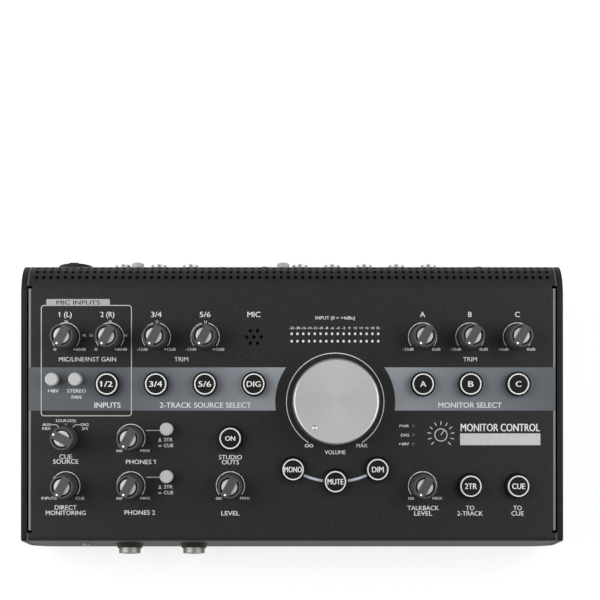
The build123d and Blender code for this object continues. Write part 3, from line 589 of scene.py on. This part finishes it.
def word(bm, text, x, s, cap, weight, width=None):
    """Adds letters of a given cap height and width, laid down twice for weight.

    The coats lie that far to the left and to the right, and the second is a little higher, so that
    no two faces share a plane.
    """
    letters = bpy.data.curves.new("letters", "FONT")
    letters.body = text
    letters.resolution_u = 3
    shape = bpy.data.objects.new("letters", letters)
    mesh = bpy.data.meshes.new_from_object(shape)
    left = min(v.co.x for v in mesh.vertices)
    right = max(v.co.x for v in mesh.vertices)
    size = cap / TYPE_CAP
    across = width / (right - left) if width else size
    middle = Matrix.Translation((-(left + right) / 2, -TYPE_MIDDLE, 0))
    mesh.transform(Matrix.Translation((x - weight, s, 0)) @ Matrix.Diagonal((across, size, 1, 1)) @ middle)
    bm.from_mesh(mesh)
    mesh.transform(Matrix.Translation((2 * weight, 0, SECOND_COAT)))
    bm.from_mesh(mesh)
    bpy.data.meshes.remove(mesh)
    bpy.data.objects.remove(shape)


words, labels = bmesh.new(), bmesh.new()


def label(text, x, s, cap=TINY, width=None, weight=LABEL_WEIGHT):
    """Adds one of the small labels."""
    word(labels, text, x, s, cap, weight, width)


# Headings over the trim row, and titles under each group.
ABOVE_TRIM, UNDER_TRIM, UNDER_SELECT = 12.5, -12.3, -11.6
for text, x, width in (
    ("1 (L)", GAINS[0], 6.8), ("2 (R)", GAINS[1] - 1.2, 7.6), ("3/4", SOURCES[1], 5.7),
    ("5/6", SOURCES[2], 6.0), ("MIC", SOURCES[3], 7.2),
    ("A", MONITORS[0], None), ("B", MONITORS[1], None), ("C", MONITORS[2], None),
):
    word(words, text, x, ROW_TRIM + ABOVE_TRIM, HEADING, HEADING_WEIGHT, width)
for text, x, width in (
    ("MIC/LINE/INST GAIN", -113.2, 31.6), ("TRIM", -61.3, 7.6), ("TRIM", MONITORS[1], 7.6),
):
    word(words, text, x, ROW_TRIM + UNDER_TRIM, TITLE, THIN, width)
for text, x, width in (
    ("INPUTS", SOURCES[0], 14.4), ("2-TRACK SOURCE SELECT", -47.9, 50.4),
    ("MONITOR SELECT", MONITORS[1], 35.0),
):
    word(words, text, x, ROW_SELECT + UNDER_SELECT, HEADING, HEADING_WEIGHT, width)
for text, x, s, width in (
    ("CUE", LEFT_COLUMN, 46.5, 7.0), ("SOURCE", LEFT_COLUMN, 43.8, 14.0),
    ("PHONES 1", -83.7, 43.6, 16.3), ("PHONES 2", -84.2, 15.6, 16.9),
    ("DIRECT", LEFT_COLUMN, 18.4, 12.1), ("MONITORING", LEFT_COLUMN, 15.4, 22.0),
    ("STUDIO", STUDIO_COLUMN, 46.2, 12.7), ("OUTS", STUDIO_COLUMN, 43.4, 9.5),
    ("LEVEL", STUDIO_COLUMN, 15.2, 10.0),
    ("TALKBACK", MONITORS[0] + 0.3, 18.1, 17.3), ("LEVEL", MONITORS[0] + 0.3, 15.1, 9.9),
    ("TO", MONITORS[1], 18.1, 4.6), ("2-TRACK", MONITORS[1], 15.1, 14.1),
    ("TO", MONITORS[2], 18.1, 4.6), ("CUE", MONITORS[2], 15.1, 6.8),
):
    word(words, text, x, s, TITLE, TITLE_WEIGHT, width)
word(words, "MONITOR CONTROL", x=115.2, s=62.6, cap=4.2, weight=0.1, width=43.6)
# The typeface's figure 1 has no flag, so each gets one: its start, end and width.
for start, end, width in (
    ((GAINS[0] - 3.9, ROW_TRIM + 13.0), (GAINS[0] - 3.2, ROW_TRIM + 13.7), 0.4),
    ((-76.75, 44.15), (-75.95, 44.7), 0.35),
):
    stroke(words, start, end, width)
ink(words, "panel_lettering", light_ink)

# Labels at the ends of each pot's scale: its lower and upper end, each with its place beside the pot.
END_DROP = -6.8
END_LABELS = {
    "gain_knob_1": (("0", -5.8), ("+60dB", 7.8)),
    "gain_knob_2": (("0", -7.5), ("+60dB", 6.2)),
    "trim_knob_3_4": (("-12dB", -7.7), ("+12dB", 7.5)),
    "trim_knob_5_6": (("-12dB", -7.8), ("+12dB", 7.4)),
    "monitor_trim_knob_a": (("-12dB", -7.9), ("0dB", 7.6)),
    "monitor_trim_knob_b": (("-12dB", -7.9), ("0dB", 7.6)),
    "monitor_trim_knob_c": (("-12dB", -7.9), ("0dB", 7.6)),
    "phones_knob_1": (("∞", -6.4), ("MAX", 8.0)),
    "phones_knob_2": (("∞", -6.4), ("MAX", 8.0)),
    "direct_monitor_knob": (("INPUTS", -9.3), ("CUE", 7.9)),
    "studio_level_knob": (("∞", -6.4), ("MAX", 8.0)),
    "talkback_level_knob": (("∞", -6.4), ("MAX", 8.2)),
}
END_WIDTHS = {
    "0": 1.5, "+60dB": 7.0, "-12dB": 5.9, "+12dB": 6.5, "0dB": 4.6,
    "∞": 3.3, "MAX": 5.3, "INPUTS": 8.4, "CUE": 4.8,
}
ENDLESS = 2.4
for name, (x, s) in {**PLAIN_POTS, **TRIM_POTS, **LEVEL_POTS}.items():
    for text, away in END_LABELS[name]:
        label(text, x + away, s + END_DROP, ENDLESS if text == "∞" else TINY, END_WIDTHS[text])
# Marks on the scales themselves.
TOP_MARK, SIDE_MARK = (0.3, 8.4), 0.9
for x, text in ((GAINS[0], "30"), (GAINS[1], "30"), (SOURCES[1], "U"), (SOURCES[2], "U")):
    label(text, x + TOP_MARK[0], ROW_TRIM + TOP_MARK[1])
for x, text in ((GAINS[0] + 10.3, "40"), (GAINS[1] - 10.2, "10"), (GAINS[1] + 8.7, "40")):
    label(text, x, ROW_TRIM + SIDE_MARK)
# Labels around the volume knob, the cue switch and the push caps.
for text, away, s, cap, width in (
    ("VOLUME", 0, 48.9, 2.2, 11.4), ("∞", -14.5, VOLUME[1] - 24.1, 3.4, 4.8),
    ("MAX", 14.8, VOLUME[1] - 24.2, 2.1, 6.0),
):
    label(text, VOLUME[0] + away, s, cap, width)
for text, away, rise, width, weight in (
    ("SOURCE(S)", 0, 9.8, 11.0, THIN), ("AUX", -10.6, 7.6, 4.7, LABEL_WEIGHT),
    ("MIX", -10.6, 5.4, 4.6, LABEL_WEIGHT), ("DIG", 10.5, 7.6, 4.2, LABEL_WEIGHT),
    ("3/4", 10.5, 5.4, 3.2, LABEL_WEIGHT),
):
    label(text, CUE[0] + away, CUE[1] + rise, TINY, width, weight)
for text, x, s, width in (
    ("+48V", -132.3, 82.9, 6.3), ("STEREO", -119.3, 82.9, 10.3), ("PAN", -119.3, 79.4, 5.2),
):
    label(text, x, s, SMALL, width)
for cap_s in PHONES_CAPS:
    for text, away, drop, width in (("2TR", 0.6, 5.8, 4.8), ("CUE", 0.8, 9.0, 5.2)):
        label(text, PHONES_CAP + away, cap_s - drop, SMALL, width)
# The meter's heading and levels, and the names of the three lamps, which end in line.
METER_MIDDLE, METER_PITCH = 23.75, 3.19
METER_MARKS = "-24 -20 -16 -14 -12 -10 -8 -6 -4 -2 0 +2 +4 +6 +8 OL".split()
METER_MARKS_ROW, METER_MARK, MARK_WIDTH, MARK_MOST = 117.7, 1.35, 0.95, 2.6
LAMP_NAMES_END = 64.75
label("INPUT (0 = +4dBu)", x=VOLUME[0], s=123.3, cap=1.8, width=21.8)
for i, text in enumerate(METER_MARKS):
    x = METER_MIDDLE + (i - (len(METER_MARKS) - 1) / 2) * METER_PITCH
    label(text, x, METER_MARKS_ROW, METER_MARK, min(MARK_MOST, MARK_WIDTH * len(text)))
for text, s, width in (("PWR", 63.4, 5.3), ("DIG", 58.4, 4.5), ("+48V", 53.5, 5.8)):
    label(text, LAMP_NAMES_END - width / 2, s, TINY, width)
ink(labels, "panel_labels", light_ink)

# The tab's letters, in the panel's own black.
OVER_TAB = 0.08
tab_words = bmesh.new()
word(tab_words, "MIC INPUTS", x=(TAB_LEFT + TAB_RIGHT) / 2, s=131.8, cap=2.3, weight=0.04, width=24.0)
dark_ink = screen_ink("dark_ink", grey(0.012), grey(0.018), specular=0.13)
ink(tab_words, "tab_lettering", dark_ink, thick=OVER_TAB)

# ---------------------------------------------------------------- the edges of the holes
# Each punched hole of the rear bend and over the microphone has a rounded edge, coloured near-black: painted
# shade of the hole.
# It is a little longer up the slope than across it, and narrows into the sheet.
PROUD = 0.02
STRETCH = Matrix.Diagonal((0.98, 1.2, 1, 1))


def rim(bm, place, outer, lip, inner, depth, steps):
    """A rounded edge let into a round hole: a flat lip, then a cone that narrows inwards."""
    known = set(bm.verts)
    profile = ((outer, 0, PROUD), (lip, 0, PROUD), (inner, 0, -depth), (outer, 0, -depth))
    section = [bm.verts.new(spot) for spot in profile]
    sides = [bm.edges.new((section[i], section[i - 1])) for i in range(len(section))]
    bmesh.ops.spin(
        bm, geom=[*section, *sides], cent=(0, 0, 0), axis=(0, 0, 1), angle=2 * pi, steps=steps,
        use_merge=True,
    )
    bmesh.ops.transform(bm, matrix=place, verts=[v for v in bm.verts if v not in known])


# The rims are near-black, darker than the coat around them: painted shade inside the holes.
hole_rim_painted_shade = finish_of(
    "hole_rim_painted_shade", grey(0.002), grey(0.004), patches=1.0, grains=(0.4, 0.01), roughness=0.4, specular=0.06,
)
# A rim's outer, lip and inner radius, its depth, and its steps around.
VENT_RIM = (1.06, 0.96, 0.86, 0.26, 12)
CASE_DEPTH, REAR_BEND = 154.0, 17.0
BEND_START = CASE_DEPTH / cos(SLOPE) - REAR_BEND * tan((radians(90) + SLOPE) / 2)
VENT_ROWS = (36.0, 51.5, 67.0)
VENT_PITCH, VENT_COLUMNS = 4.0, 72
for row, angle in enumerate(VENT_ROWS):
    rims = bmesh.new()
    s = BEND_START + REAR_BEND * sin(radians(angle))
    h = REAR_BEND * (cos(radians(angle)) - 1)
    lean = Matrix.Rotation(-radians(angle), 4, "X")
    for column in range(VENT_COLUMNS):
        x = (column - (VENT_COLUMNS - 1) / 2) * VENT_PITCH
        rim(rims, Matrix.Translation((x, s, h)) @ lean @ STRETCH, *VENT_RIM)
    fixed(rims, f"vent_rims_{row + 1}", PANEL, hole_rim_painted_shade, "case")

MIC_RIM = (1.01, 0.91, 0.83, 0.18, 16)
MIC, MIC_CIRCLE, MIC_AROUND = (SOURCES[3], ROW_TRIM), 4.0, 6
mic_holes = [MIC]
for step in range(MIC_AROUND):
    turn = 2 * pi * step / MIC_AROUND
    mic_holes.append((MIC[0] + MIC_CIRCLE * cos(turn), MIC[1] + MIC_CIRCLE * sin(turn)))
rims = bmesh.new()
for hole in mic_holes:
    rim(rims, Matrix.Translation((*hole, 0)) @ STRETCH, *MIC_RIM)
fixed(rims, "microphone_rims", PANEL, hole_rim_painted_shade, "case")

# ---------------------------------------------------------------- meter and lamps
# White diffusers stand behind the meter's windows, moulded in one light bar.
# Three small green lamps, unlit, show beside their names.
diffuser = finish_of("diffuser", grey(0.57), grey(0.63), patches=1.0, grains=(0.5, 0.01), roughness=0.4)
dress(diffuser, "meter_light_bar")
lamp_green = finish_of(
    "lamp_green", (0.01, 0.04, 0.018), (0.018, 0.065, 0.03), patches=0.8, grains=(0.5, 0.005), roughness=0.1,
)
dress(lamp_green, "status_leds")

# ---------------------------------------------------------------- the volume knob
# One piece of aluminium on the shaft of its pot, turned, bead blasted and anodised.
# A trace of the turning is left, and the flank is painted darker than the top: painted shade, for the dark
# panel's reflection in the flank.
TURNING = 0.12
FLANK_PAINTED_SHADE = (0.2, 0.198, 0.196)
TOP_END, FLANK_START = 22.5, 22.8


def turn_and_shade_flank(made):
    """Lays the trace of turning around the knob's axis, and paints shade on what lies outside its top."""
    tree = made.node_tree
    spot = tree.nodes.new("ShaderNodeTexCoord")
    from_axis = tree.nodes.new("ShaderNodeVectorMath")
    from_axis.operation = "SUBTRACT"
    from_axis.inputs[1].default_value = PANEL @ Vector((*VOLUME, 0))
    around = tree.nodes.new("ShaderNodeVectorMath")
    around.operation = "CROSS_PRODUCT"
    around.inputs[0].default_value = PANEL.to_3x3() @ Vector((0, 0, 1 / MM))
    out = tree.nodes.new("ShaderNodeVectorMath")
    out.operation = "LENGTH"
    tree.links.new(spot.outputs["Object"], from_axis.inputs[0])
    tree.links.new(from_axis.outputs[0], around.inputs[1])
    tree.links.new(around.outputs[0], out.inputs[0])
    feed(made, "Tangent", around.outputs[0])
    tint(made, fade(tree, out.outputs["Value"], TOP_END * MM, FLANK_START * MM), FLANK_PAINTED_SHADE)


blasted = finish_of(
    "blasted_aluminium", (0.352, 0.348, 0.345), (0.378, 0.374, 0.371),
    patches=0.8, grains=(0.35, 0.008), roughness=0.45, metallic=1.0,
)
blasted.node_tree.nodes["Principled BSDF"].inputs["Anisotropic"].default_value = TURNING
turn_and_shade_flank(blasted)
dress(blasted, "volume_knob")

# ---------------------------------------------------------------- the small knobs
# Soft-touch moulded knobs on the shafts of their pots, and one on the cue switch.
# Each has a satin disc let in at both sides of its pointer bar, and a white dot on the bar, with painted
# shade in the dish around the disc.
soft_touch = finish_of(
    "soft_touch", (0.036, 0.036, 0.038), (0.044, 0.044, 0.046),
    patches=1.5, grains=(0.3, 0.01), roughness=0.5, specular=0.3,
)
satin_disc = finish_of(
    "satin_disc", (0.365, 0.365, 0.37), (0.395, 0.395, 0.4),
    patches=1.5, grains=(0.3, 0.01), roughness=0.55, metallic=0.3, specular=0.3,
)
# A near-black sheet in the dish around each disc is painted shade in the recess.
groove_painted_shade = finish_of(
    "groove_painted_shade", grey(0.006), grey(0.01), patches=1.0, grains=(0.3, 0.01), roughness=0.6, specular=0.15,
)
dot_white = finish_of("dot_white", grey(0.82), grey(0.88), patches=1.0, grains=(0.5, 0.005), roughness=0.3)
LOW_STOP, CUE_STOP = 240.8, 152.0
DISC_RADIUS, DISC_FLOOR, DISC_THICK = 4.3, 15.2, 0.8
DISC_CLEAR, DISC_SIDES, DISC_BEVEL = 2.3, 48, 0.25
NEAR = 0.01


def at(x, s, h=0.0, turn=0.0):
    """Where a control stands: its place on the panel, turned by so many degrees."""
    return PANEL @ Matrix.Translation((x, s, h)) @ Matrix.Rotation(radians(turn), 4, "Z")


def disc_halves():
    """The two parts of a disc that a pointer bar leaves free, bevelled along their round edges."""
    disc = bmesh.new()
    bmesh.ops.create_circle(disc, cap_ends=True, segments=DISC_SIDES, radius=DISC_RADIUS)
    for side in (-1, 1):
        bmesh.ops.bisect_plane(
            disc, geom=[*disc.verts, *disc.edges, *disc.faces], plane_co=(0, side * DISC_CLEAR, 0),
            plane_no=(0, 1, 0),
        )
    under_bar = [f for f in disc.faces if abs(f.calc_center_median().y) < DISC_CLEAR / 2]
    bmesh.ops.delete(disc, geom=under_bar, context="FACES")
    raised = bmesh.ops.extrude_face_region(disc, geom=disc.faces[:])
    tops = [v for v in raised["geom"] if isinstance(v, bmesh.types.BMVert)]
    bmesh.ops.translate(disc, verts=tops, vec=(0, 0, DISC_THICK))
    round_edges = [
        e for e in disc.edges
        if all(v.co.z > DISC_THICK / 2 for v in e.verts)
        and any(abs(v.co.y) > DISC_CLEAR + NEAR for v in e.verts)
    ]
    bmesh.ops.bevel(
        disc, geom=round_edges, offset=DISC_BEVEL, segments=2, affect="EDGES", profile=0.5, material=-1,
    )
    return disc


GROOVE_OUT, GROOVE_REACH, GROOVE_STEP, GROOVE_THICK = 5.28, 61, 6, 0.15


def groove_shade_arcs():
    """A near-black sheet around each half of the disc, laid in its recess: painted shade."""
    groove_shade = bmesh.new()
    for middle in (90, 270):
        arc(
            groove_shade, (0, 0), (DISC_RADIUS + GROOVE_OUT) / 2, GROOVE_OUT - DISC_RADIUS,
            middle - GROOVE_REACH, middle + GROOVE_REACH, GROOVE_STEP,
        )
    return groove_shade


BAR_TOP = 17.1
DOT_OUT, DOT_RADIUS, DOT_TAPER, DOT_SIDES, DOT_THICK, DOT_MIDDLE = 4.85, 0.62, 0.8, 20, 0.3, 0.1


def pointer_dot():
    """A white dot let into the pointer bar's end, a little narrower at its top."""
    dot = bmesh.new()
    bmesh.ops.create_cone(
        dot, cap_ends=True, segments=DOT_SIDES, radius1=DOT_RADIUS, radius2=DOT_RADIUS * DOT_TAPER,
        depth=DOT_THICK, matrix=Matrix.Translation((DOT_OUT, 0, DOT_MIDDLE)),
    )
    return dot


for name, (x, s) in {**PLAIN_POTS, **TRIM_POTS, **LEVEL_POTS, "cue_source_knob": CUE}.items():
    dress(soft_touch, name)
    turn = CUE_STOP if name == "cue_source_knob" else LOW_STOP
    fixed(disc_halves(), f"{name}_disc", at(x, s, DISC_FLOOR, turn), satin_disc, name)
    ink(
        groove_shade_arcs(), f"{name}_groove", groove_painted_shade, body=name,
        place=at(x, s, DISC_FLOOR, turn), thick=GROOVE_THICK,
    )
    fixed(pointer_dot(), f"{name}_dot", at(x, s, BAR_TOP, turn), dot_white, name)

# ---------------------------------------------------------------- the ringed buttons
# Black satin caps on push switches, with a clear-cut ring and legend moulded through in white.
# The panel's coat catches the light in a thin line around each opening, and that line's colour is painted
# lighter than the coat: a painted highlight.
cap_black = finish_of(
    "cap_black", grey(0.005), grey(0.007), patches=1.5, grains=(0.4, 0.008), roughness=0.4, specular=0.1,
)
ring_white = finish_of(
    "ring_white", (0.53, 0.525, 0.515), (0.57, 0.565, 0.555),
    patches=1.5, grains=(0.5, 0.005), roughness=0.35,
)
rim_painted_highlight = finish_of("rim_painted_highlight", grey(0.026), grey(0.034), patches=1.0, grains=(0.4, 0.01), roughness=0.35)
BUTTON_TOP = 4.2
BUTTON_RIM = (7.45, 7.38, 7.25, 0.2, 60)
RING_RADIUS, RING_WIDTH, RING_STEP = 5.5, 0.65, 6
LEGEND, SHORT_LEGEND, LEGEND_WEIGHT = 3.1, 2.6, 0.08
FLAG_START, FLAG_END, FLAG_WIDTH = (-3.75, 0.85), (-3.0, 1.35), 0.4
MUTE_CIRCLE, MUTE_STEP = 44.0, radians(32)


def under_volume(step):
    """A place on the arc of three buttons under the volume knob."""
    return VOLUME[0] + MUTE_CIRCLE * sin(step * MUTE_STEP), VOLUME[1] - MUTE_CIRCLE * cos(step * MUTE_STEP)


# Each button's place, its legend, and how wide that is.
BUTTONS = {
    "source_button_1": ((SOURCES[0], ROW_SELECT), "1/2", 6.4),
    "source_button_2": ((SOURCES[1], ROW_SELECT), "3/4", 7.0),
    "source_button_3": ((SOURCES[2], ROW_SELECT), "5/6", 7.0),
    "source_button_4": ((SOURCES[3], ROW_SELECT), "DIG", 7.6),
    "monitor_button_a": ((MONITORS[0], ROW_SELECT), "A", 3.3),
    "monitor_button_b": ((MONITORS[1], ROW_SELECT), "B", 2.9),
    "monitor_button_c": ((MONITORS[2], ROW_SELECT), "C", 3.0),
    "studio_button": ((STUDIO_COLUMN, ROW_PHONES), "ON", 5.4),
    "mono_button": (under_volume(-1), "MONO", 9.6),
    "mute_button": (under_volume(0), "MUTE", 8.7),
    "dim_button": (under_volume(1), "DIM", 6.4),
    "talkback_button_track": ((MONITORS[1], ROW_FRONT), "2TR", 6.5),
    "talkback_button_cue": ((MONITORS[2], ROW_FRONT), "CUE", 7.0),
}
rims = bmesh.new()
for name, (spot, text, width) in BUTTONS.items():
    dress(cap_black, name)
    legend = bmesh.new()
    arc(legend, (0, 0), RING_RADIUS, RING_WIDTH, 0, 360, RING_STEP)
    word(legend, text, 0, 0, SHORT_LEGEND if text == "ON" else LEGEND, LEGEND_WEIGHT, width)
    # Here too, the figure 1 gets its flag.
    if text == "1/2":
        stroke(legend, FLAG_START, FLAG_END, FLAG_WIDTH)
    ink(legend, f"{name}_legend", ring_white, body=name, place=at(*spot, BUTTON_TOP))
    rim(rims, Matrix.Translation((*spot, 0)), *BUTTON_RIM)
fixed(rims, "button_rims", PANEL, rim_painted_highlight, "case")

# ---------------------------------------------------------------- the pale push caps
# Light grey moulded caps on latching switches.
# Four stand on the panel, and two come out through the rear wall.
cap_pale = finish_of(
    "cap_pale", grey(0.312), grey(0.33), patches=2.0, grains=(0.5, 0.01), roughness=0.45, specular=0.3,
)
dress(cap_pale, "phantom_cap", "stereo_cap", "phones_cap_1", "phones_cap_2")
dress(cap_pale, "level_cap_left", "level_cap_right")

# ---------------------------------------------------------------- sockets at the front and the rear
# Nickel-plated bushings, nuts and shells, and black moulded housings.
# The rear sockets' bodies are black behind the wall, where only their bushings are plated.
PLATING = (0.31, 0.288, 0.265)
MOULDING = grey(0.01)


def plate_outside(made):
    """Nickel where the bushing stands out of the rear wall, and black moulding behind it."""
    tree = made.node_tree
    outside = maths(tree, "GREATER_THAN", own_place(tree)["Y"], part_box("base_chassis")[1].y)
    feed(made, "Metallic", outside)
    feed(made, "Base Color", ramp(tree, outside, {0.0: MOULDING, 0.5: PLATING}, "CONSTANT"))


nickel = finish_of(
    "nickel", (0.215, 0.2, 0.184), (0.245, 0.228, 0.21),
    patches=2.0, grains=(0.5, 0.01), roughness=0.45, metallic=1.0,
)
dress(nickel, "rear_jack_nuts", "phones_jacks", "small_jack", "usb_socket")
socket_two_tone = grain(material("socket_two_tone", PLATING, roughness=0.35), size=0.5, depth=0.01)
plate_outside(socket_two_tone)
dress(socket_two_tone, "rear_jacks")
moulded = finish_of(
    "moulded_black", grey(0.007), grey(0.012), patches=2.5, grains=(0.5, 0.015), roughness=0.45, specular=0.2,
)
dress(moulded, "phones_jack_collars", "combo_sockets", "footswitch_jack", "power_inlet", "power_switch_body")
rocker_gloss = finish_of(
    "rocker_gloss", grey(0.012), grey(0.02), patches=3.0, grains=(0.6, 0.01), roughness=0.25,
)
dress(rocker_gloss, "power_rocker")
